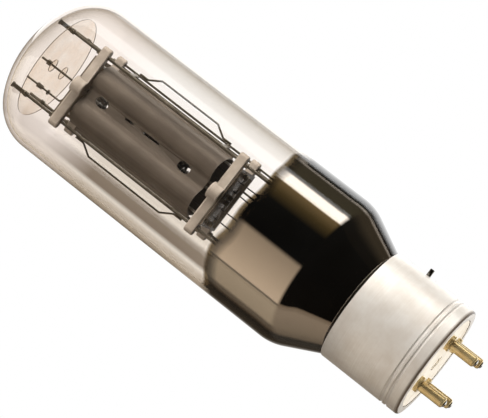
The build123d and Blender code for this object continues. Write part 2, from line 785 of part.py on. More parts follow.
with BuildPart() as filament_hook_right:
    with BuildLine() as route:
        FilletPolyline(
            (filament_offset, hook_offset, grid_top),
            (filament_offset, hook_offset, hook_level),
            (filament_offset, -hook_offset, hook_level),
            radius=hook_bend,
        )
    with BuildSketch(Plane(origin=route.line @ 0, z_dir=route.line % 0)):
        Circle(hook_diameter / 2)
    sweep(path=route.line)
    with BuildSketch(Plane((filament_offset, hook_offset, upper_deck_top))):
        Circle(collar_diameter / 2)
    extrude(amount=collar_height / 2)
write(filament_hook_right.part, "filament_hook_right")

# ---- tension spring and its stops on the left hook's shank ------------------------------------
tension_place = Plane((-tension_offset, hook_offset, 0))
with BuildPart() as filament_spring:
    coil_length = spring_length - spring_wire
    with BuildLine() as route:
        Helix(
            pitch=coil_length / spring_turns,
            height=coil_length,
            radius=(spring_diameter - spring_wire) / 2,
            center=(-tension_offset, hook_offset, mica_top + spring_wire / 2),
        )
    with BuildSketch(Plane(origin=route.line @ 0, z_dir=route.line % 0)):
        Circle(spring_wire / 2)
    sweep(path=route.line, is_frenet=True)
write(filament_spring.part, "filament_spring")

with BuildPart() as filament_stops:
    for level in (mica_top + spring_length, mica_bottom - stop_drop - collar_height / 2):
        with BuildSketch(tension_place.offset(level)):
            Circle(collar_diameter / 2)
            Circle(hook_diameter / 2, mode=Mode.SUBTRACT)
        extrude(amount=collar_height / 2)
write(filament_stops.part, "filament_stops")

# ---- top mica: disc that steadies the upper ends of the rods ----------------------------------
with BuildPart() as top_mica:
    with BuildSketch(Plane.XY.offset(mica_bottom)):
        Circle(mica_diameter / 2)
        with Locations(*rod_corners.values()):
            Circle(rod_diameter / 2, mode=Mode.SUBTRACT)
        with Locations((0, -bar_offset)):
            Circle(post_diameter / 2, mode=Mode.SUBTRACT)
        with Locations((-tension_offset, hook_offset)):
            Circle(hook_diameter / 2 + fit, mode=Mode.SUBTRACT)
    extrude(amount=mica_thickness)
write(top_mica.part, "top_mica")

# ---- mica eyelets: short sleeves that grip the mica on each rod -------------------------------
with BuildPart() as mica_eyelets:
    for level in (mica_bottom - collar_height / 2, mica_top):
        with BuildSketch(Plane.XY.offset(level)):
            with Locations(*rod_corners.values()):
                Circle(collar_diameter / 2)
            with Locations(*rod_corners.values()):
                Circle(rod_diameter / 2, mode=Mode.SUBTRACT)
            with Locations((0, -bar_offset)):
                Circle(collar_diameter / 2)
                Circle(post_diameter / 2, mode=Mode.SUBTRACT)
        extrude(amount=collar_height / 2)
write(mica_eyelets.part, "mica_eyelets")

# ---- centre post: stands in the boss of the front bar and carries two washers -----------------
post_bottom = upper_bar - post_foot
with BuildPart() as centre_post:
    with BuildSketch(Plane((0, -bar_offset, post_bottom))):
        Circle(post_diameter / 2)
    extrude(amount=mica_top + post_head - post_bottom)
write(centre_post.part, "centre_post")

with BuildPart() as post_washers:
    for drop in (washer_drop, washer_drop + washer_pitch):
        with BuildSketch(Plane((0, -bar_offset, mica_bottom - drop))):
            Circle(washer_diameter / 2)
            Circle(post_diameter / 2, mode=Mode.SUBTRACT)
        extrude(amount=washer_thickness)
write(post_washers.part, "post_washers")

# ---- leads: nickel wires from the press to the electrodes -------------------------------------
lead_routes = {
    "filament_lead_outer": [
        (-1.5 * lead_spacing, 0, press_top),
        (-1.5 * lead_spacing, 0, press_top + lead_spacing),
        (-outer_foot, 0, press_top + 2 * lead_spacing),
        (-outer_foot, 0, filament_bottom - bus_thickness),
    ],
    "grid_lead": [
        (0.5 * lead_spacing, 0, press_top),
        (0.5 * lead_spacing, 0, press_top + lead_spacing),
        (filament_offset, strap_front + strap_thickness / 2, press_top + 2 * lead_spacing),
        (filament_offset, strap_front + strap_thickness / 2, grid_bottom),
    ],
    "anode_lead": [
        (1.5 * lead_spacing, 0, press_top),
        (1.5 * lead_spacing, 0, press_top + lead_spacing),
        (wire_x, bar_offset, press_top + 3 * lead_spacing),
        (wire_x, bar_offset, lower_bar - collar_height),
    ],
}
for lead_name, corners in lead_routes.items():
    with BuildPart() as lead:
        with BuildLine() as route:
            FilletPolyline(*corners, radius=lead_bend)
        with BuildSketch(Plane(origin=route.line @ 0, z_dir=route.line % 0)):
            Circle(lead_diameter / 2)
        sweep(path=route.line)
    write(lead.part, lead_name)

with BuildPart() as filament_lead_inner:
    with BuildSketch(Plane((-0.5 * lead_spacing, 0, press_top))):
        Circle(lead_diameter / 2)
    extrude(amount=filament_bottom - bus_thickness - press_top)
write(filament_lead_inner.part, "filament_lead_inner")

# ---- getter: channel ring that held the getter metal, on a wire from the stem clamp -----------
getter_r = getter_diameter / 2
getter_bottom = rim + getter_height
with BuildPart() as getter_ring:
    with BuildSketch(Plane.XZ.offset(-getter_offset)):
        with Locations((getter_r - getter_section / 2, getter_bottom + getter_section / 2)):
            Rectangle(getter_section, getter_section)
        with Locations((getter_r - getter_section / 2, getter_bottom + getter_section / 4)):
            Rectangle(getter_section / 2, getter_section / 2, mode=Mode.SUBTRACT)
    revolve(axis=Axis((0, getter_offset, 0), (0, 0, 1)))
write(getter_ring.part, "getter_ring")

with BuildPart() as getter_stalk:
    with BuildLine(Plane.YZ) as route:
        FilletPolyline(
            (clamp_r + getter_wire / 2, clamp_top - clamp_height),
            (clamp_r + getter_wire / 2, clamp_top + lead_spacing),
            (getter_offset + getter_r + getter_wire / 2, getter_bottom - lead_spacing),
            (getter_offset + getter_r + getter_wire / 2, getter_bottom + getter_section),
            radius=lead_bend,
        )
    with BuildSketch(Plane(origin=route.line @ 0, z_dir=route.line % 0)):
        Circle(getter_wire / 2)
    sweep(path=route.line)
write(getter_stalk.part, "getter_stalk")
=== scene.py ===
import bpy
import math
from mathutils import Matrix, Vector


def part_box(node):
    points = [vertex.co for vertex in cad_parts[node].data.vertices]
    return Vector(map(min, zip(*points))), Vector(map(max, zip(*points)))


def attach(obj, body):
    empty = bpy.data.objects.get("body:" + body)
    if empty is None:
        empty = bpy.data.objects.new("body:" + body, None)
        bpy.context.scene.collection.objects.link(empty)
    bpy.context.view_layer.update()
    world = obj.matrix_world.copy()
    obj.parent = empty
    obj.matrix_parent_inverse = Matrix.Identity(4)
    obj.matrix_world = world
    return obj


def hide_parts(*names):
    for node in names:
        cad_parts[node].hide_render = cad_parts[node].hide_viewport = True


# A directly heated power triode: a tall blown bulb cemented into a round metal base with four
# contact pins, and in the bulb a cage of ceramic bars and wires round a two-lobed dark anode.
# Metres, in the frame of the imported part: +Z up the tube's axis, -Y the front.

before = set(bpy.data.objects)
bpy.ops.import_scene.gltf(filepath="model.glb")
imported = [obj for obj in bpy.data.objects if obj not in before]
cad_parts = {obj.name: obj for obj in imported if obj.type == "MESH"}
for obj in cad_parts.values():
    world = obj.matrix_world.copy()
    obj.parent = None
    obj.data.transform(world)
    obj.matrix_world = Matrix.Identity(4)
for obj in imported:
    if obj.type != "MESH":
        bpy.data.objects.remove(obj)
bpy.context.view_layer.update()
bpy.ops.object.select_all(action="DESELECT")
mm = 0.001

# ---- base shell -----------------------------------------------------------------------------
# The shell is a cup pressed from thin sheet, plated and turned to a satin finish.  Its foot is
# turned in to a flat lip, and two grooves are rolled round it to grip the wafer.


def linear(colour):
    """An sRGB hex colour as the linear values that a shader takes."""
    parts = [int(colour[i:i + 2], 16) / 255 for i in (1, 3, 5)]
    return [p / 12.92 if p <= 0.04045 else ((p + 0.055) / 1.055) ** 2.4 for p in parts] + [1]


def node(material, kind, settings=(), stops=(), **inputs):
    """Add a node, set what it is told, and link or fill its inputs, named or numbered (n0, n1)."""
    tree = material.node_tree
    added = tree.nodes.new("ShaderNode" + kind)
    for name, value in dict(settings).items():
        setattr(added, name, value)
    for name, value in inputs.items():
        numbered = name[0] == "n" and name[1:].isdigit()
        socket = added.inputs[int(name[1:]) if numbered else name.replace("_", " ")]
        if isinstance(value, bpy.types.NodeSocket):
            tree.links.new(value, socket)
        else:
            socket.default_value = value
    for index, (place, colour) in enumerate(stops):
        elements = added.color_ramp.elements
        stop = elements[index] if index < 2 else elements.new(place)
        stop.position = place
        stop.color = colour
    return added


def material(name):
    """A new node material with nothing but its output."""
    made = bpy.data.materials.new(name)
    made.use_nodes = True
    made.node_tree.nodes.clear()
    return made


def finish_with(made, shader):
    """Link a shader to the material's output."""
    output = node(made, "OutputMaterial")
    made.node_tree.links.new(shader, output.inputs["Surface"])


def arc(centre_r, centre_z, radius, start, end, steps):
    """Points of an arc in a turned outline, from one angle to another."""
    angles = [math.radians(start + (end - start) * i / steps) for i in range(steps + 1)]
    return [(centre_r + radius * math.cos(a), centre_z + radius * math.sin(a)) for a in angles]


def turned(name, outline, sides, smooth, centre=(0, 0)):
    """Turn an outline of (radius, height) points round a vertical axis, ring by ring."""
    pole = 0.001 * mm
    radius, height = max(outline[0][0], pole), outline[0][1]
    bpy.ops.mesh.primitive_circle_add(vertices=sides, radius=radius, location=(*centre, height))
    made = bpy.context.object
    made.name = name
    bpy.ops.object.transform_apply(location=True, rotation=True, scale=True)
    bpy.ops.object.mode_set(mode="EDIT")
    bpy.ops.mesh.select_all(action="SELECT")
    for next_radius, next_height in outline[1:]:
        next_radius = max(next_radius, pole)
        bpy.ops.mesh.extrude_edges_move(
            TRANSFORM_OT_translate={"value": (0, 0, next_height - height)})
        ratio = next_radius / radius
        bpy.ops.transform.resize(value=(ratio, ratio, 1), center_override=(*centre, next_height))
        radius, height = next_radius, next_height
    bpy.ops.mesh.select_all(action="SELECT")
    bpy.ops.mesh.remove_doubles(threshold=5 * pole)
    bpy.ops.mesh.normals_make_consistent(inside=False)
    bpy.ops.object.mode_set(mode="OBJECT")
    bpy.ops.object.shade_smooth_by_angle(angle=math.radians(smooth))
    return made


def dress(piece, made, slot, *nodes):
    """Give a finished piece its material and its body, and hide the CAD nodes that it stands for; its slot
    is not used.
    """
    piece.data.materials.clear()
    piece.data.materials.append(made)
    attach(piece, "root")
    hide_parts(*nodes)
    bpy.ops.object.select_all(action="DESELECT")


shell_low, shell_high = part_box("base_shell")
shell_radius = shell_high.x
shell_wall = 0.5 * mm
shell_corner = 1.0 * mm
lip_width = 3.6 * mm
groove_width = 1.35 * mm
groove_depth = 0.45 * mm
groove_heights = (5.4 * mm, 7.5 * mm)
groove_steps = 6
wall_ring_heights = (12 * mm, 24 * mm)
mouth_bevel = 0.1 * mm


def shell_face(inset):
    """One face of the shell, from the lip's inner edge to the mouth."""
    wall = shell_radius - inset
    rim = shell_low.z
    line = [(shell_radius - lip_width, rim + inset)]
    line += arc(shell_radius - shell_corner, rim + shell_corner, shell_corner - inset, -90, 0, 8)
    for groove in groove_heights:
        for i in range(-groove_steps, groove_steps + 1):
            dip = groove_depth * math.cos(i / groove_steps * math.pi / 2)
            line.append((wall - dip, rim + groove + groove_width / 2 * i / groove_steps))
    line += [(wall, rim + height) for height in wall_ring_heights]
    line.append((wall, shell_high.z - 2 * mouth_bevel))
    return line


mouth = [(shell_radius - mouth_bevel, shell_high.z)]
mouth += [(shell_radius - shell_wall + mouth_bevel, shell_high.z)]
shell_outline = shell_face(0) + mouth + shell_face(shell_wall)[::-1] + shell_face(0)[:1]
shell = turned("base_shell_turned", shell_outline, 160, 40)

# Nickel-plated shell metal, turned and scratch-brushed round the axis: the fine rings spread the
# lights into soft upright bands, and the plating is a warm pale grey.
satin_nickel = material("nickel_plate_scratch_brushed")
place = node(satin_nickel, "TexCoord").outputs["Object"]
ring_pitch = 0.25 * mm
along = node(satin_nickel, "Mapping", Vector=place, Scale=(40, 40, 1 / ring_pitch))
rings = node(satin_nickel, "TexNoise", Vector=along.outputs[0], Scale=1.0, Detail=4.0, Roughness=0.6)
clouds = node(satin_nickel, "TexNoise", Vector=place, Scale=160.0, Detail=3.0, Roughness=0.6)
plate = node(satin_nickel, "ValToRGB", Fac=rings.outputs[0],
             stops=((0.3, linear("#D8D3CC")), (0.7, linear("#E1DDD7"))))
tone = node(satin_nickel, "ValToRGB", Fac=clouds.outputs[0],
            stops=((0.35, linear("#F4F1EE")), (0.65, linear("#FFFFFF"))))
even = node(satin_nickel, "MixRGB", {"blend_type": "MULTIPLY"}, Fac=1.0,
            Color1=plate.outputs[0], Color2=tone.outputs[0])
# painted shade: a dark band round the rolled corner of the lip, standing in for the shade and dark
# reflection at the foot of the shell
lip_shade_height = 2 * mm
height = node(satin_nickel, "SeparateXYZ", Vector=place).outputs[2]
level = node(satin_nickel, "MapRange", Value=height, n1=shell_low.z, n2=shell_low.z + lip_shade_height,
             n3=0.0, n4=1.0)
painted_lip_shade = node(satin_nickel, "ValToRGB", Fac=level.outputs[0],
             stops=((0.0, linear("#FFFFFF")), (0.06, linear("#6A5F55")), (0.3, linear("#857B72")),
                    (0.75, linear("#FFFFFF"))))
colour = node(satin_nickel, "MixRGB", {"blend_type": "MULTIPLY"}, Fac=1.0,
              Color1=even.outputs[0], Color2=painted_lip_shade.outputs[0])
rough = node(satin_nickel, "MapRange", Value=rings.outputs[0], n3=0.34, n4=0.42)
relief = node(satin_nickel, "Bump", Height=rings.outputs[0], Strength=0.08, Distance=0.02 * mm)
metal = node(satin_nickel, "BsdfPrincipled", Base_Color=colour.outputs[0], Metallic=0.4,
             Roughness=rough.outputs[0], Normal=relief.outputs[0])
finish_with(satin_nickel, metal.outputs[0])
dress(shell, satin_nickel, "shell_metal", "base_shell")

# ---- base wafer -----------------------------------------------------------------------------
# The wafer is a disc of pressed and fired ceramic that insulates the pins.  It lies on the lip
# inside the shell, and a shallow dimple marks its middle.
wafer_low, wafer_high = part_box("base_wafer")
wafer_sink = 0.2 * mm
wafer_face = shell_low.z + wafer_sink
dimple_radius = 3.2 * mm
dimple_depth = 0.8 * mm
dimple_wall = 0.6 * mm
dimple_round = 0.4 * mm
dimple_draft = 0.1 * mm
dimple_edge = 0.2 * mm
wafer_play = 0.1 * mm
wafer_round = 0.15 * mm
wafer_bevel = (0.6 * mm, 1.2 * mm)
seat_gap = 0.02 * mm
wafer_step = shell_radius - lip_width - wafer_play
wafer_seat = shell_low.z + shell_wall + seat_gap
dimple_top = wafer_face + dimple_depth
wafer_outline = [(0, dimple_top), (dimple_radius - dimple_round, dimple_top)]
wafer_outline += [(dimple_radius - dimple_draft, wafer_face + dimple_wall)]
wafer_outline += [(dimple_radius, wafer_face + wafer_round)]
wafer_outline += [(dimple_radius + dimple_edge, wafer_face), (wafer_step - wafer_round, wafer_face)]
wafer_outline += [(wafer_step, wafer_face + wafer_round), (wafer_step, wafer_seat)]
wafer_outline += [(wafer_high.x - wafer_bevel[0], wafer_seat)]
wafer_outline += [(wafer_high.x, wafer_low.z + wafer_bevel[1])]
wafer_outline += [(wafer_high.x, wafer_high.z), (0, wafer_high.z)]
wafer = turned("base_wafer_pressed", wafer_outline, 128, 35)

# Unglazed steatite, pressed dry and fired: dead white with a warm cast, matt, faintly grained.
steatite = material("steatite_unglazed_fired")
place = node(steatite, "TexCoord").outputs["Object"]
grain = node(steatite, "TexNoise", Vector=place, Scale=2500.0, Detail=3.0)
stain = node(steatite, "TexNoise", Vector=place, Scale=140.0, Detail=4.0)
colour = node(steatite, "ValToRGB", Fac=stain.outputs[0],
              stops=((0.3, linear("#EFE7D8")), (0.65, linear("#FBF7EE"))))
relief = node(steatite, "Bump", Height=grain.outputs[0], Strength=0.2, Distance=0.03 * mm)
body = node(steatite, "BsdfPrincipled", Base_Color=colour.outputs[0], Roughness=0.6, IOR=1.55,
            Normal=relief.outputs[0])
finish_with(steatite, body.outputs[0])
dress(wafer, steatite, "wafer_ceramic", "base_wafer")

# ---- contact pins ---------------------------------------------------------------------------
# Each pin is a tube turned from brass and gilded, with a flange that seats on the wafer, a
# narrow neck under it, and a rounded tip whose hole the solder closes.
gilt = material("brass_turned_gold_plated")
place = node(gilt, "TexCoord").outputs["Object"]
turning_pitch = 0.2 * mm
along = node(gilt, "Mapping", Vector=place, Scale=(60, 60, 1 / turning_pitch))
marks = node(gilt, "TexNoise", Vector=along.outputs[0], Scale=1.0, Detail=3.0)
wear = node(gilt, "TexNoise", Vector=place, Scale=260.0, Detail=3.0, Roughness=0.6)
colour = node(gilt, "ValToRGB", Fac=wear.outputs[0],
              stops=((0.3, linear("#DCBE84")), (0.65, linear("#EBD6A2"))))
rough = node(gilt, "MapRange", Value=marks.outputs[0], n3=0.26, n4=0.32)
metal = node(gilt, "BsdfPrincipled", Base_Color=colour.outputs[0], Metallic=0.8,
             Roughness=rough.outputs[0])
finish_with(gilt, metal.outputs[0])

pin_names = ("pin_filament_right", "pin_anode", "pin_filament_left", "pin_grid")
pin_radius = 2.1 * mm
flange_radius = 3.2 * mm
flange_height = 1.6 * mm
flange_edge = 0.25 * mm
neck_length = 0.4 * mm
neck_depth = 0.15 * mm
neck_shoulder = 0.1 * mm
tip_round = 0.9 * mm
bore_radius = 0.75 * mm
bore_mouth = 0.15 * mm
bore_bevel = 0.1 * mm
head_radius = 2.8 * mm
for pin_name in pin_names:
    low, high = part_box(pin_name)
    tip = low.z
    flange = wafer_face - flange_height
    neck = flange - neck_length
    outline = [(bore_radius, high.z), (bore_radius, tip + bore_bevel)]
    outline += [(bore_radius + bore_mouth, tip)]
    outline += arc(pin_radius - tip_round, tip + tip_round, tip_round, -90, 0, 8)
    outline += [(pin_radius, neck - neck_shoulder), (pin_radius - neck_depth, neck)]
    outline += [(pin_radius - neck_depth, flange), (flange_radius - flange_edge, flange)]
    outline += arc(flange_radius - flange_edge, flange + flange_edge, flange_edge, -90, 0, 4)
    outline += [(flange_radius, wafer_face), (pin_radius, wafer_face)]
    outline += [(pin_radius, wafer_high.z), (head_radius, wafer_high.z), (head_radius, high.z)]
    outline += [(bore_radius, high.z)]
    middle = (low + high) / 2
    pin = turned(f"{pin_name}_turned", outline, 48, 40, (middle.x, middle.y))
    dress(pin, gilt, "gilt_brass", pin_name)

# ---- solder ---------------------------------------------------------------------------------
# A drop of tin solder fills the end of each pin and holds the lead wire.  It has flowed out over
# the tip and set as a low bright dome.
tin = material("tin_solder_flowed")
place = node(tin, "TexCoord").outputs["Object"]
skin = node(tin, "TexNoise", Vector=place, Scale=1500.0, Detail=3.0)
colour = node(tin, "ValToRGB", Fac=skin.outputs[0],
              stops=((0.3, linear("#A9A69E")), (0.7, linear("#DAD8D0"))))
relief = node(tin, "Bump", Height=skin.outputs[0], Strength=0.3, Distance=0.05 * mm)
metal = node(tin, "BsdfPrincipled", Base_Color=colour.outputs[0], Metallic=1.0, Roughness=0.25,
             Normal=relief.outputs[0])
finish_with(tin, metal.outputs[0])

solder_low, solder_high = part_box("pin_solder")
drop_radius = 1.4 * mm
drop_height = solder_high.z - solder_low.z
swell = [math.radians(angle) for angle in range(0, 91, 10)]
drop_outline = [(drop_radius * math.sin(a), solder_high.z - drop_height * math.cos(a)) for a in swell]
drop_outline += [(0, solder_high.z)]
drops = []
for pin_name in pin_names:
    low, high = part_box(pin_name)
    middle = (low + high) / 2
    drops.append(turned(f"solder_{pin_name}", drop_outline, 32, 60, (middle.x, middle.y)))
for drop in drops:
    drop.select_set(True)
bpy.context.view_layer.objects.active = drops[0]
bpy.ops.object.join()
drops[0].name = "pin_solder_drops"
dress(drops[0], tin, "solder", "pin_solder")

# ---- bayonet pin ----------------------------------------------------------------------------
# A short shouldered pin driven through the side of the shell into the cement.  It locks the tube
# in its socket, and its end is rounded and dark with handling.


def smoothed(cad_name, name, angle):
    """A copy of a CAD node with its triangles merged and its round faces shaded smooth."""
    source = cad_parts[cad_name]
    made = bpy.data.objects.new(name, source.data.copy())
    bpy.context.scene.collection.objects.link(made)
    made.select_set(True)
    bpy.context.view_layer.objects.active = made
    bpy.ops.object.mode_set(mode="EDIT")
    bpy.ops.mesh.select_all(action="SELECT")
    bpy.ops.mesh.remove_doubles(threshold=0.002 * mm)
    bpy.ops.object.mode_set(mode="OBJECT")
    bpy.ops.object.shade_smooth_by_angle(angle=math.radians(angle))
    return made


# Turned brass gone dark grey in the air, and rubbed brighter in patches.
dark_brass = material("brass_turned_tarnished")
place = node(dark_brass, "TexCoord").outputs["Object"]
patch = node(dark_brass, "TexNoise", Vector=place, Scale=900.0, Detail=4.0)
colour = node(dark_brass, "ValToRGB", Fac=patch.outputs[0],
              stops=((0.3, linear("#4A4640")), (0.7, linear("#837D73"))))
metal = node(dark_brass, "BsdfPrincipled", Base_Color=colour.outputs[0], Metallic=1.0, Roughness=0.35)
finish_with(dark_brass, metal.outputs[0])
dress(smoothed("bayonet_pin", "bayonet_pin_driven", 40), dark_brass, "brass", "bayonet_pin")

# ---- bulb -----------------------------------------------------------------------------------
# The bulb is blown from clear glass: a narrow neck that stands in the cement, a cone, a straight
# body and a flat dome with a tight shoulder.
bulb_low, bulb_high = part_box("glass_envelope")
bulb_radius = bulb_high.x
neck_radius = 20.5 * mm
neck_blend = 6.0 * mm
cone_angle = 27.0
shoulder_bend = 20.0 * mm
crown_bend = 45.0 * mm
knuckle_bend = 18.0 * mm
glass_wall = 1.5 * mm
cone_foot = shell_radius - shell_wall - 0.1 * mm
cone = math.radians(cone_angle)
shoulder_reach = bulb_radius - shoulder_bend
shoulder_foot = bulb_radius - shoulder_bend * (1 - math.cos(cone))
shoulder_rise = shoulder_bend * math.sin(cone)
shoulder_height = shell_high.z + (shoulder_foot - cone_foot) / math.tan(cone) + shoulder_rise
blend_reach = neck_radius + neck_blend
blend_rise = ((blend_reach - cone_foot) * math.cos(cone) - neck_blend) / math.sin(cone)
blend_height = shell_high.z + blend_rise
crown_height = bulb_high.z - crown_bend
knuckle_reach = bulb_radius - knuckle_bend
knuckle_height = crown_height + math.sqrt((crown_bend - knuckle_bend) ** 2 - knuckle_reach ** 2)
knuckle_angle = math.degrees(math.atan2(knuckle_height - crown_height, knuckle_reach))


def bulb_face(inset):
    """The bulb's outline from the neck to the middle of the dome, moved inwards by inset."""
    line = [(neck_radius - inset, bulb_low.z)]
    line += arc(blend_reach, blend_height, neck_blend + inset, 180, 180 - cone_angle, 6)
    line += arc(shoulder_reach, shoulder_height, shoulder_bend - inset, -cone_angle, 0, 10)
    body = knuckle_height - shoulder_height
    line += [(bulb_radius - inset, shoulder_height + body * i / 12) for i in range(1, 12)]
    line += arc(knuckle_reach, knuckle_height, knuckle_bend - inset, 0, knuckle_angle, 12)
    line += arc(0, crown_height, crown_bend - inset, knuckle_angle, 90, 16)[1:]
    return line


# both faces end on the axis, so each is turned by itself and the two are joined at the neck
bulb = turned("bulb_blown", bulb_face(0), 128, 60)
hollow = turned("bulb_inner_face", bulb_face(glass_wall), 128, 60)
bpy.context.view_layer.objects.active = hollow
bpy.ops.object.mode_set(mode="EDIT")
bpy.ops.mesh.select_all(action="SELECT")
bpy.ops.mesh.normals_make_consistent(inside=True)
bpy.ops.object.mode_set(mode="OBJECT")
bulb.select_set(True)
hollow.select_set(True)
bpy.context.view_layer.objects.active = bulb
bpy.ops.object.join()
bpy.ops.object.mode_set(mode="EDIT")
bpy.ops.mesh.select_mode(type="EDGE")
bpy.ops.mesh.select_all(action="DESELECT")
bpy.ops.mesh.select_non_manifold(extend=False)
bpy.ops.mesh.bridge_edge_loops()
bpy.ops.object.mode_set(mode="OBJECT")

# Soda-lime bulb glass, blown and fire-polished: clear with a straw cast that deepens where the
# wall is seen edge on, and a mirror-smooth skin.  The round wall spreads what lies against its
# inside out to its very edge; in front of the getter film that dark edge is a painted refraction,
# darkened into the glass's colour until it is as dark as the film.
film_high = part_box("getter_film")[1]
blown_glass = material("soda_lime_glass_blown")
place = node(blown_glass, "TexCoord").outputs["Object"]
edge_on = node(blown_glass, "LayerWeight", Blend=0.5).outputs["Facing"]
schlick = node(blown_glass, "Math", {"operation": "POWER"}, n0=edge_on, n1=4.5)
mirror_share = node(blown_glass, "MapRange", Value=schlick.outputs[0], n3=0.04, n4=0.9)
depth = node(blown_glass, "Math", {"operation": "POWER"}, n0=edge_on, n1=3.2)
tint = node(blown_glass, "ValToRGB", Fac=depth.outputs[0],
            stops=((0.0, linear("#FEFCFA")), (1.0, linear("#BBAA90"))))
height = node(blown_glass, "SeparateXYZ", Vector=place).outputs[2]
filmed_to = film_high.z - 9 * mm
clear_from = film_high.z - 3 * mm
# painted refraction: near its edge, the glass in front of the film is darkened towards black
filmed = node(blown_glass, "MapRange", Value=height, n1=filmed_to, n2=clear_from, n3=1.0, n4=0.0)
rounding = node(blown_glass, "MapRange", Value=edge_on, n1=0.60, n2=0.68, n3=0.0, n4=1.0)
painted_film_refraction = node(blown_glass, "Math", {"operation": "MULTIPLY"}, n0=filmed.outputs[0], n1=rounding.outputs[0])
shaded = node(blown_glass, "MixRGB", Fac=painted_film_refraction.outputs[0], Color1=tint.outputs[0],
              Color2=linear("#0A0805"))
clear = node(blown_glass, "BsdfTransparent", Color=shaded.outputs[0])
smoke = node(blown_glass, "TexNoise", Vector=place, Scale=30.0, Detail=3.0)
haze_share = node(blown_glass, "MapRange", Value=smoke.outputs[0], n3=0.0, n4=0.005)
haze = node(blown_glass, "BsdfDiffuse", Color=linear("#FFFDF8"))
skin = node(blown_glass, "TexNoise", Vector=place, Scale=22.0, Detail=1.0)
smooth = node(blown_glass, "MapRange", Value=skin.outputs[0], n3=0.02, n4=0.04)
gloss = node(blown_glass, "BsdfGlossy", Color=linear("#FFFFFF"), Roughness=smooth.outputs[0])
hazy = node(blown_glass, "MixShader", Fac=haze_share.outputs[0], n1=clear.outputs[0], n2=haze.outputs[0])
front = node(blown_glass, "MixShader", Fac=mirror_share.outputs[0], n1=hazy.outputs[0],
             n2=gloss.outputs[0])
# the far side of each wall adds nothing more, so that a wall mirrors and tints once
plain = node(blown_glass, "BsdfTransparent", Color=linear("#FFFFFF"))
behind = node(blown_glass, "NewGeometry").outputs["Backfacing"]
wall = node(blown_glass, "MixShader", Fac=behind, n1=front.outputs[0], n2=plain.outputs[0])
finish_with(blown_glass, wall.outputs[0])
dress(bulb, blown_glass, "glass", "glass_envelope")

# ---- getter film ----------------------------------------------------------------------------
# Barium flashed from the getter ring has settled on the inside of the lower bulb as a mirror.
# It thins out upwards through brown to nothing, in a soft uneven edge.
film_gap = 0.02 * mm


def film_radius(height):
    """Inner radius of the bulb at a height on its cone or its straight body."""
    if height >= shoulder_height:
        return bulb_radius - glass_wall - film_gap
    if height >= shoulder_height - shoulder_rise:
        bend = shoulder_bend - glass_wall - film_gap
        drop = shoulder_height - height
        return shoulder_reach + math.sqrt(max(bend ** 2 - drop ** 2, 0))
    slope = cone_foot + (height - shell_high.z) * math.tan(cone)
    return slope - (glass_wall + film_gap) / math.cos(cone)


film_foot = shell_high.z + 0.3 * mm
film_rings = 40
film_height = film_high.z - film_foot
levels = [film_foot + film_height * i / film_rings for i in range(film_rings + 1)]
outline = [(film_radius(level), level) for level in levels]
film = turned("getter_film_deposit", outline, 128, 60)

# Barium mirror seen through the glass: black where it mirrors nothing, bright where it mirrors a
# pale wall, and brown where it is thin enough to let light through.
barium = material("barium_mirror_vapour_deposited")
place = node(barium, "TexCoord").outputs["Object"]
height = node(barium, "SeparateXYZ", Vector=place).outputs[2]
drift = node(barium, "TexNoise", Vector=place, Scale=32.0, Detail=1.0)
swirl = node(barium, "TexNoise", Vector=place, Scale=160.0, Detail=3.0)
uneven = node(barium, "Math", {"operation": "MULTIPLY_ADD"}, n0=drift.outputs[0], n1=14 * mm, n2=height)
fine = node(barium, "Math", {"operation": "MULTIPLY_ADD"}, n0=swirl.outputs[0], n1=0.6 * mm,
            n2=uneven.outputs[0])
dense_to = film_high.z - 1 * mm
gone_from = film_high.z + 6 * mm
thinning = node(barium, "MapRange", Value=fine.outputs[0], n1=dense_to, n2=gone_from, n3=0.0, n4=1.0)
through = node(barium, "ValToRGB", Fac=thinning.outputs[0],
               stops=((0.0, linear("#000000")), (0.5, linear("#241C12")), (0.78, linear("#75674F")),
                      (0.97, linear("#FFFFFF"))))
cover = node(barium, "ValToRGB", Fac=thinning.outputs[0],
             stops=((0.0, linear("#FFFFFF")), (0.35, linear("#B0B0B0")), (0.7, linear("#181818")),
                    (0.85, linear("#000000"))))
thin = node(barium, "BsdfTransparent", Color=through.outputs[0])
mirror = node(barium, "BsdfPrincipled", Base_Color=linear("#B4ADA4"), Metallic=1.0, Roughness=0.04)
layer = node(barium, "MixShader", Fac=cover.outputs[0], n1=thin.outputs[0], n2=mirror.outputs[0])
finish_with(barium, layer.outputs[0])
dress(film, barium, "getter_mirror", "getter_film")

# ---- anode ----------------------------------------------------------------------------------
# Two halves pressed from nickel sheet and welded at their side flanges make two lobes with a
# waist between.  The sheet is coated black with carbon so that it sheds heat.
carbon = material("nickel_sheet_carbonised")
place = node(carbon, "TexCoord").outputs["Object"]
soot = node(carbon, "TexNoise", Vector=place, Scale=900.0, Detail=4.0, Roughness=0.7)
patches = node(carbon, "TexNoise", Vector=place, Scale=70.0, Detail=3.0)
streaks = node(carbon, "Mapping", Vector=place, Scale=(600, 600, 25))
rolled = node(carbon, "TexNoise", Vector=streaks.outputs[0], Scale=1.0, Detail=3.0)
shade = node(carbon, "MixRGB", Fac=0.5, Color1=patches.outputs[0], Color2=rolled.outputs[0])
colour = node(carbon, "ValToRGB", Fac=shade.outputs[0],
              stops=((0.35, linear("#5E554C")), (0.65, linear("#746A5F"))))
rough = node(carbon, "MapRange", Value=soot.outputs[0], n3=0.42, n4=0.56)
relief = node(carbon, "Bump", Height=soot.outputs[0], Strength=0.2, Distance=0.03 * mm)
coat = node(carbon, "BsdfPrincipled", Base_Color=colour.outputs[0], Metallic=0.4,
            Roughness=rough.outputs[0], Normal=relief.outputs[0])
finish_with(carbon, coat.outputs[0])
for half in ("anode_front", "anode_back"):
    dress(smoothed(half, f"{half}_pressed", 35), carbon, "anode_metal", half)

# ---- ceramic bars ---------------------------------------------------------------------------
# Four bars of pressed and fired ceramic, round at their ends and with a round boss in the middle,
# are drilled for the wires that they hold apart.

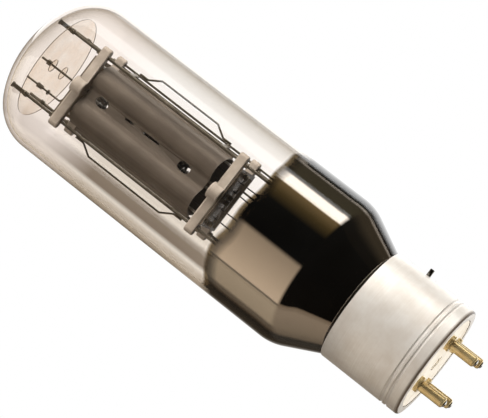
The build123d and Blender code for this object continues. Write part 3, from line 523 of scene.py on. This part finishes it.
# Fired steatite like the wafer, but greyed by the heat and the metal vapour of the cage.
bar_ceramic = material("steatite_bar_greyed")
place = node(bar_ceramic, "TexCoord").outputs["Object"]
grain = node(bar_ceramic, "TexNoise", Vector=place, Scale=1800.0, Detail=3.0)
soil = node(bar_ceramic, "TexNoise", Vector=place, Scale=180.0, Detail=3.0)
colour = node(bar_ceramic, "ValToRGB", Fac=soil.outputs[0],
              stops=((0.3, linear("#90867B")), (0.7, linear("#AFA498"))))
relief = node(bar_ceramic, "Bump", Height=grain.outputs[0], Strength=0.25, Distance=0.03 * mm)
body = node(bar_ceramic, "BsdfPrincipled", Base_Color=colour.outputs[0], Roughness=0.5, IOR=1.55,
            Normal=relief.outputs[0])
finish_with(bar_ceramic, body.outputs[0])
for bar in ("lower_bar_front", "lower_bar_back", "upper_bar_front", "upper_bar_back"):
    dress(smoothed(bar, f"{bar}_fired", 35), bar_ceramic, "bar_ceramic", bar)

# ---- mica -----------------------------------------------------------------------------------
# Sheets of split mica are punched for the rods: a round one under the dome, a plate across each
# pair of bars, and two small washers on the centre post.

# Muscovite mica, split and punched, with clouds between its layers and dull cut edges: the round
# sheet is clear and glossy, and the plates nearer the heat have gone brown.
micas = (
    ("mica_sheet_clear", "#FAF5EF", "#FFFEFC", 0.02, 0.08, ("top_mica", "post_washers")),
    ("mica_sheet_browned", "#857968", "#ADA08C", 0.4, 0.6, ("upper_deck", "lower_deck")),
)
for mica_name, dark, pale, least, most, sheets in micas:
    muscovite = material(mica_name)
    place = node(muscovite, "TexCoord").outputs["Object"]
    layers = node(muscovite, "TexNoise", Vector=place, Scale=120.0, Detail=4.0, Roughness=0.6)
    flecks = node(muscovite, "TexVoronoi", {"feature": "DISTANCE_TO_EDGE"}, Vector=place, Scale=260.0)
    stain = node(muscovite, "ValToRGB", Fac=layers.outputs[0],
                 stops=((0.3, linear(dark)), (0.7, linear(pale))))
    clear = node(muscovite, "BsdfTransparent", Color=stain.outputs[0])
    rough = node(muscovite, "MapRange", Value=flecks.outputs["Distance"], n1=0.0, n2=0.2,
                 n3=0.4, n4=0.22)
    sheet = node(muscovite, "BsdfPrincipled", Base_Color=stain.outputs[0],
                 Roughness=rough.outputs[0], IOR=1.58)
    cloud = node(muscovite, "MapRange", Value=layers.outputs[0], n3=least, n4=most)
    split = node(muscovite, "MixShader", Fac=cloud.outputs[0], n1=clear.outputs[0],
                 n2=sheet.outputs[0])
    facing = node(muscovite, "NewGeometry").outputs["True Normal"]
    upward = node(muscovite, "SeparateXYZ", Vector=facing).outputs[2]
    flat = node(muscovite, "Math", {"operation": "ABSOLUTE"}, n0=upward)
    cut = node(muscovite, "Math", {"operation": "LESS_THAN"}, n0=flat.outputs[0], n1=0.5)
    edge = node(muscovite, "BsdfDiffuse", Color=linear("#5C5246"))
    cut_sheet = node(muscovite, "MixShader", Fac=cut.outputs[0], n1=split.outputs[0],
                     n2=edge.outputs[0])
    finish_with(muscovite, cut_sheet.outputs[0])
    for sheet_name in sheets:
        dress(smoothed(sheet_name, f"{sheet_name}_split", 30), muscovite, "mica", sheet_name)

# ---- grids ----------------------------------------------------------------------------------
# In each lobe two molybdenum rods carry a fine wire, drawn and wound round them in a flat spiral.
# The rods are bright, and the winding shows mostly through the openings of the anode.

# Molybdenum wire, drawn and cleaned: bright grey with draw marks along it.
molybdenum = material("molybdenum_wire_drawn")
place = node(molybdenum, "TexCoord").outputs["Object"]
draw = node(molybdenum, "Mapping", Vector=place, Scale=(3000, 3000, 120))
marks = node(molybdenum, "TexNoise", Vector=draw.outputs[0], Scale=1.0, Detail=2.0)
colour = node(molybdenum, "ValToRGB", Fac=marks.outputs[0],
              stops=((0.3, linear("#C9C4BC")), (0.7, linear("#EDEAE5"))))
metal = node(molybdenum, "BsdfPrincipled", Base_Color=colour.outputs[0], Metallic=0.7,
             Roughness=0.3)
finish_with(molybdenum, metal.outputs[0])
for piece_name in ("grid_rods_left", "grid_rods_right", "grid_winding_left", "grid_winding_right"):
    dress(smoothed(piece_name, f"{piece_name}_drawn", 35), molybdenum, "grid_metal", piece_name)

# ---- filaments ------------------------------------------------------------------------------
# A hairpin of thoriated tungsten wire hangs from a hook in each lobe.  It is drawn, bent and
# carburised, and runs at yellow heat.

# Thoriated tungsten, carburised: dull dark grey with a fine crystal grain.
tungsten = material("tungsten_wire_carburised")
place = node(tungsten, "TexCoord").outputs["Object"]
crystal = node(tungsten, "TexNoise", Vector=place, Scale=4000.0, Detail=3.0)
colour = node(tungsten, "ValToRGB", Fac=crystal.outputs[0],
              stops=((0.3, linear("#3A3632")), (0.7, linear("#6A645C"))))
metal = node(tungsten, "BsdfPrincipled", Base_Color=colour.outputs[0], Metallic=1.0, Roughness=0.5)
finish_with(tungsten, metal.outputs[0])
for piece_name in ("filament_left", "filament_right"):
    dress(smoothed(piece_name, f"{piece_name}_bent", 40), tungsten, "tungsten", piece_name)

# ---- wires, collars and straps of the cage --------------------------------------------------
# Everything else in the cage is nickel-plated steel: the rods that hold the bars, the sleeves and
# collars squeezed on them, the hooks and their spring, the leads and the straps.

# Nickel-plated steel wire, drawn and dulled by the bake-out: dark warm grey with draw marks.
steel_wire = material("steel_wire_nickel_plated_dull")
place = node(steel_wire, "TexCoord").outputs["Object"]
draw = node(steel_wire, "Mapping", Vector=place, Scale=(2500, 2500, 90))
marks = node(steel_wire, "TexNoise", Vector=draw.outputs[0], Scale=1.0, Detail=3.0)
bloom = node(steel_wire, "TexNoise", Vector=place, Scale=250.0, Detail=3.0)
shade = node(steel_wire, "MixRGB", Fac=0.5, Color1=marks.outputs[0], Color2=bloom.outputs[0])
colour = node(steel_wire, "ValToRGB", Fac=shade.outputs[0],
              stops=((0.3, linear("#665F54")), (0.7, linear("#9C9384"))))
rough = node(steel_wire, "MapRange", Value=marks.outputs[0], n3=0.3, n4=0.45)
metal = node(steel_wire, "BsdfPrincipled", Base_Color=colour.outputs[0], Metallic=0.85,
             Roughness=rough.outputs[0])
finish_with(steel_wire, metal.outputs[0])
wire_pieces = (
    "side_rod_front_left", "side_rod_front_right", "side_rod_back_left", "side_rod_back_right",
    "rod_collars", "rod_caps", "outer_wire_left", "outer_wire_right", "side_bow_left",
    "side_bow_right", "anode_ties", "grid_collars", "grid_strap", "filament_bus_inner",
    "filament_bus_outer", "filament_hook_left", "filament_hook_right", "filament_spring",
    "filament_stops", "mica_eyelets", "centre_post", "stem_clamp", "filament_lead_inner",
    "filament_lead_outer", "grid_lead", "anode_lead", "getter_ring", "getter_stalk",
)
for piece_name in wire_pieces:
    dress(smoothed(piece_name, f"{piece_name}_formed", 40), steel_wire, "nickel_steel", piece_name)

# ---- stem, exhaust tube, cement and base leads ----------------------------------------------
# Behind the getter film the stem's glass press seals the leads, with the exhaust tube drawn off
# inside it.  Cement fills the shell round the neck, and four wires run from the press to the pins.
for piece_name in ("glass_stem", "exhaust_tube"):
    dress(smoothed(piece_name, f"{piece_name}_drawn", 40), blown_glass, "glass", piece_name)

# Litharge and glycerine cement, cast and set: matt grey-brown stone with coarse grains.
cement = material("base_cement_cast")
place = node(cement, "TexCoord").outputs["Object"]
grit = node(cement, "TexNoise", Vector=place, Scale=700.0, Detail=5.0, Roughness=0.7)
colour = node(cement, "ValToRGB", Fac=grit.outputs[0],
              stops=((0.3, linear("#7A705F")), (0.7, linear("#B3A893"))))
relief = node(cement, "Bump", Height=grit.outputs[0], Strength=0.5, Distance=0.1 * mm)
body = node(cement, "BsdfPrincipled", Base_Color=colour.outputs[0], Roughness=0.85,
            Normal=relief.outputs[0])
finish_with(cement, body.outputs[0])
dress(smoothed("base_cement", "base_cement_cast", 30), cement, "base_cement", "base_cement")

# Tinned copper wire: soft silver skin with the copper warming it.
tinned_copper = material("copper_wire_tinned")
place = node(tinned_copper, "TexCoord").outputs["Object"]
skin = node(tinned_copper, "TexNoise", Vector=place, Scale=1200.0, Detail=3.0)
colour = node(tinned_copper, "ValToRGB", Fac=skin.outputs[0],
              stops=((0.35, linear("#B87A55")), (0.6, linear("#CFC6BC"))))
metal = node(tinned_copper, "BsdfPrincipled", Base_Color=colour.outputs[0], Metallic=1.0,
             Roughness=0.35)
finish_with(tinned_copper, metal.outputs[0])
dress(smoothed("base_leads", "base_leads_tinned", 40), tinned_copper, "copper", "base_leads")

# ---- stage ----------------------------------------------------------------------------------
# A plain pale floor under the pins, evenly lit.  It shows only from above, so that the tube can
# also be looked at from below, and it blocks no light.
bpy.ops.mesh.primitive_plane_add(size=6.0, location=(0, 0, 0))
floor = bpy.context.object
floor.name = "floor"
paper = material("paper_backdrop_matt")
place = node(paper, "TexCoord").outputs["Object"]
fibre = node(paper, "TexNoise", Vector=place, Scale=300.0, Detail=4.0)
colour = node(paper, "ValToRGB", Fac=fibre.outputs[0],
              stops=((0.3, linear("#F0EFED")), (0.7, linear("#F6F5F3"))))
matt = node(paper, "BsdfPrincipled", Base_Color=colour.outputs[0], Roughness=0.9)
even = node(paper, "Emission", Color=colour.outputs[0], Strength=0.92)
lit_paper = node(paper, "MixShader", Fac=0.85, n1=matt.outputs[0], n2=even.outputs[0])
nothing = node(paper, "BsdfTransparent")
under = node(paper, "NewGeometry").outputs["Backfacing"]
sided = node(paper, "MixShader", Fac=under, n1=lit_paper.outputs[0], n2=nothing.outputs[0])
finish_with(paper, sided.outputs[0])
floor.data.materials.append(paper)
floor.visible_shadow = False
floor.visible_glossy = False
floor.visible_diffuse = False

# ---- room -----------------------------------------------------------------------------------
# The room that the pieces mirror, by bearing to the right of the camera's side: brown behind on
# the left, two beige walls, dark ahead, a tall white strip on the right, and white behind it.
world = bpy.data.worlds.new("studio")
bpy.context.scene.world = world
world.use_nodes = True
world.node_tree.nodes.clear()
direction = node(world, "TexCoord").outputs["Generated"]
parts = node(world, "SeparateXYZ", Vector=direction)
across, away, lift = parts.outputs
toward = node(world, "Math", {"operation": "MULTIPLY"}, n0=away, n1=-1.0)
turn = node(world, "Math", {"operation": "ARCTAN2"}, n0=across, n1=toward.outputs[0])
around = node(world, "MapRange", Value=turn.outputs[0], n1=-math.pi, n2=math.pi, n3=0.0, n4=1.0)


def bearing(degrees):
    """Place on the room's ramp of a direction, in degrees to the right of the camera's side."""
    return (degrees + 180) / 360


walls = node(world, "ValToRGB", Fac=around.outputs[0], stops=(
    (bearing(-180), linear("#E9E4DC")), (bearing(-150), linear("#5E5142")),
    (bearing(-119), linear("#6E6050")), (bearing(-112), linear("#D2C4AE")),
    (bearing(-77), linear("#DCCEB8")), (bearing(-74), linear("#2A241D")),
    (bearing(-71), linear("#C5B6A3")), (bearing(-10), linear("#C0B09C")),
    (bearing(-4), linear("#040302")), (bearing(42), linear("#060502")),
    (bearing(58), linear("#5A4C2B")), (bearing(75), linear("#94805A")),
    (bearing(77), linear("#FFFFFF")), (bearing(94), linear("#FFFFFF")),
    (bearing(98), linear("#524E3D")), (bearing(132), linear("#504B3C")),
    (bearing(139), linear("#FFFFFF")),
))
strength = node(world, "ValToRGB", Fac=around.outputs[0], stops=(
    (bearing(-77), linear("#A0A0A0")), (bearing(-71), linear("#D8D8D8")),
    (bearing(-4), linear("#A0A0A0")), (bearing(75), linear("#A0A0A0")),
    (bearing(77), linear("#FFFFFF")), (bearing(94), linear("#FFFFFF")),
    (bearing(98), linear("#A0A0A0")), (bearing(133), linear("#A0A0A0")),
    (bearing(140), linear("#D0D0D0")),
))
steepness = node(world, "Math", {"operation": "ARCSINE"}, n0=lift)
rise = node(world, "MapRange", Value=steepness.outputs[0], n1=-math.pi / 2, n2=math.pi / 2,
            n3=0.0, n4=1.0)


def slope(degrees):
    """Place on the ramp of heights of a direction, in degrees above the level of the eye."""
    return (degrees + 90) / 180


# the table below is beige on the left, dark ahead and white behind
table = node(world, "ValToRGB", Fac=around.outputs[0], stops=(
    (bearing(-180), linear("#FFFFFF")), (bearing(-172), linear("#2A2119")),
    (bearing(-150), linear("#63584B")), (bearing(-115), linear("#AA9D8C")),
    (bearing(-80), linear("#BBAC9A")), (bearing(-72), linear("#7A6E60")),
    (bearing(-69), linear("#080604")), (bearing(95), linear("#0A0805")),
    (bearing(118), linear("#4C4538")), (bearing(136), linear("#4C4538")),
    (bearing(148), linear("#FFFFFF")),
))
lowered = node(world, "MapRange", Value=rise.outputs[0], n1=slope(-6), n2=slope(1), n3=0.0, n4=1.0)
lit = node(world, "MixRGB", Fac=lowered.outputs[0], Color1=table.outputs[0],
           Color2=walls.outputs[0])
# the beige wall on the left ends above the level of the eye
to_left = node(world, "MapRange", Value=turn.outputs[0], n1=math.radians(-2), n2=math.radians(2),
               n3=1.0, n4=0.0)
above = node(world, "MapRange", Value=rise.outputs[0], n1=slope(13.2), n2=slope(14.4),
             n3=0.0, n4=0.9)
wall_top = node(world, "Math", {"operation": "MULTIPLY"}, n0=to_left.outputs[0], n1=above.outputs[0])
lit = node(world, "MixRGB", Fac=wall_top.outputs[0], Color1=lit.outputs[0], Color2=linear("#2E2822"))
dusk = node(world, "MapRange", Value=rise.outputs[0], n1=slope(35), n2=slope(60), n3=1.0, n4=0.55)
toned = node(world, "MixRGB", {"blend_type": "MULTIPLY"}, Fac=1.0, Color1=lit.outputs[0],
             Color2=strength.outputs[0])
glow = node(world, "MixRGB", {"blend_type": "MULTIPLY"}, Fac=1.0, Color1=toned.outputs[0],
            Color2=dusk.outputs[0])
# straight overhead the room is one even grey
overhead = node(world, "MapRange", Value=rise.outputs[0], n1=slope(50), n2=slope(72), n3=0.0, n4=1.0)
roofed = node(world, "MixRGB", Fac=overhead.outputs[0], Color1=glow.outputs[0],
              Color2=linear("#645F58"))
mirrored = node(world, "Background", Color=roofed.outputs[0], Strength=2.6)

# Past the tube the camera sees plain white.  Through the bulb it sees the far wall of the room:
# beige on the left, white on the right, paler towards the ceiling.
ahead = node(world, "Math", {"operation": "ARCTAN2"}, n0=across, n1=away)
window = node(world, "MapRange", Value=ahead.outputs[0], n1=math.radians(-4.6), n2=0.0,
              n3=0.0, n4=1.0)
far_wall = node(world, "ValToRGB", Fac=window.outputs[0], stops=(
    (0.0, linear("#C4B7A6")), (0.04, linear("#CDC1B2")), (0.06, linear("#FBF6EE")),
    (0.085, linear("#897C6F")), (0.155, linear("#8B7E6F")), (0.18, linear("#D6CDC0")),
    (0.28, linear("#EDE6DD")), (0.5, linear("#F8F3ED")), (0.7, linear("#FFFDFB")),
    (0.92, linear("#FFFEFC")), (1.0, linear("#FCF9F5")),
))
ceiling = node(world, "MapRange", Value=steepness.outputs[0], n1=math.radians(17),
               n2=math.radians(18.5), n3=0.0, n4=0.75)
beyond = node(world, "MixRGB", Fac=ceiling.outputs[0], Color1=far_wall.outputs[0],
              Color2=linear("#FAF1EC"))
through_bulb = node(world, "Background", Color=beyond.outputs[0], Strength=1.06)
backdrop = node(world, "Background", Color=linear("#FFFFFF"), Strength=1.0)
path = node(world, "LightPath")
crossed = node(world, "Math", {"operation": "GREATER_THAN"}, n0=path.outputs["Transparent Depth"],
               n1=1.5)
seen = node(world, "MixShader", Fac=crossed.outputs[0], n1=backdrop.outputs[0],
            n2=through_bulb.outputs[0])
sky = node(world, "MixShader", Fac=path.outputs["Is Camera Ray"], n1=mirrored.outputs[0],
           n2=seen.outputs[0])
output = node(world, "OutputWorld")
world.node_tree.links.new(sky.outputs[0], output.inputs["Surface"])

# ---- lamps ----------------------------------------------------------------------------------
# Soft square lamps light the pieces and aren't mirrored by them: a large one at the front right,
# and weaker ones on the left, in front and under the base.


def lamp(name, bearing_degrees, lift_degrees, reach, aim_height, size, power, colour):
    """A square lamp that stands at a reach from the tube's axis and is aimed at one height of it."""
    made = bpy.data.lights.new(name, "AREA")
    made.shape = "SQUARE"
    made.size = size
    made.energy = power
    made.color = linear(colour)[:3]
    placed = bpy.data.objects.new(name, made)
    bpy.context.scene.collection.objects.link(placed)
    side = math.radians(bearing_degrees)
    up = math.radians(lift_degrees)
    aim = Vector((math.sin(side) * math.cos(up), -math.cos(side) * math.cos(up), math.sin(up)))
    placed.location = Vector((0, 0, aim_height)) + aim * reach
    placed.rotation_euler = aim.to_track_quat("Z", "Y").to_euler()
    placed.visible_glossy = False


lamp("key_right", 56, 22, 1.1, 110 * mm, 0.7, 24, "#FFFDFA")
lamp("fill_left", -62, 12, 1.1, 60 * mm, 0.8, 5, "#FFFAF4")
lamp("fill_front", 12, 10, 1.1, 110 * mm, 0.5, 2, "#FFFAF4")
lamp("under_base", 0, -88, 0.6, 0, 0.25, 3.2, "#FFFAF2")

# ---- camera ---------------------------------------------------------------------------------
# Low in front of the tube and tilted up at it, rolled so that the tube lies across the frame with
# its base at the lower right.
tube_turn = math.radians(2.3)
camera_back = 0.8
camera_side = 1.25 * mm
camera_drop = 96.5 * mm
tilt = math.radians(13.3)
roll = math.radians(52)
lens = bpy.data.cameras.new("camera")
lens.sensor_width = 36
lens.lens = 162
lens.clip_start = 0.01
lens.clip_end = 50
camera = bpy.data.objects.new("camera", lens)
bpy.context.scene.collection.objects.link(camera)
orbit = Matrix.Rotation(tube_turn, 3, "Z")
ahead = orbit @ Vector((0, math.cos(tilt), math.sin(tilt)))
right = orbit @ Vector((1, 0, 0))
up = orbit @ Vector((0, -math.sin(tilt), math.cos(tilt)))
rolled_right = right * math.cos(roll) - up * math.sin(roll)
rolled_up = up * math.cos(roll) + right * math.sin(roll)
turn_matrix = Matrix((rolled_right, rolled_up, -ahead)).transposed()
camera.rotation_euler = turn_matrix.to_euler()
camera.location = orbit @ Vector((camera_side, -camera_back, shell_low.z - camera_drop))
bpy.context.scene.camera = camera

settings = bpy.context.scene
settings.view_settings.view_transform = "Standard"
settings.view_settings.look = "None"
settings.cycles.max_bounces = 16
settings.cycles.transparent_max_bounces = 40
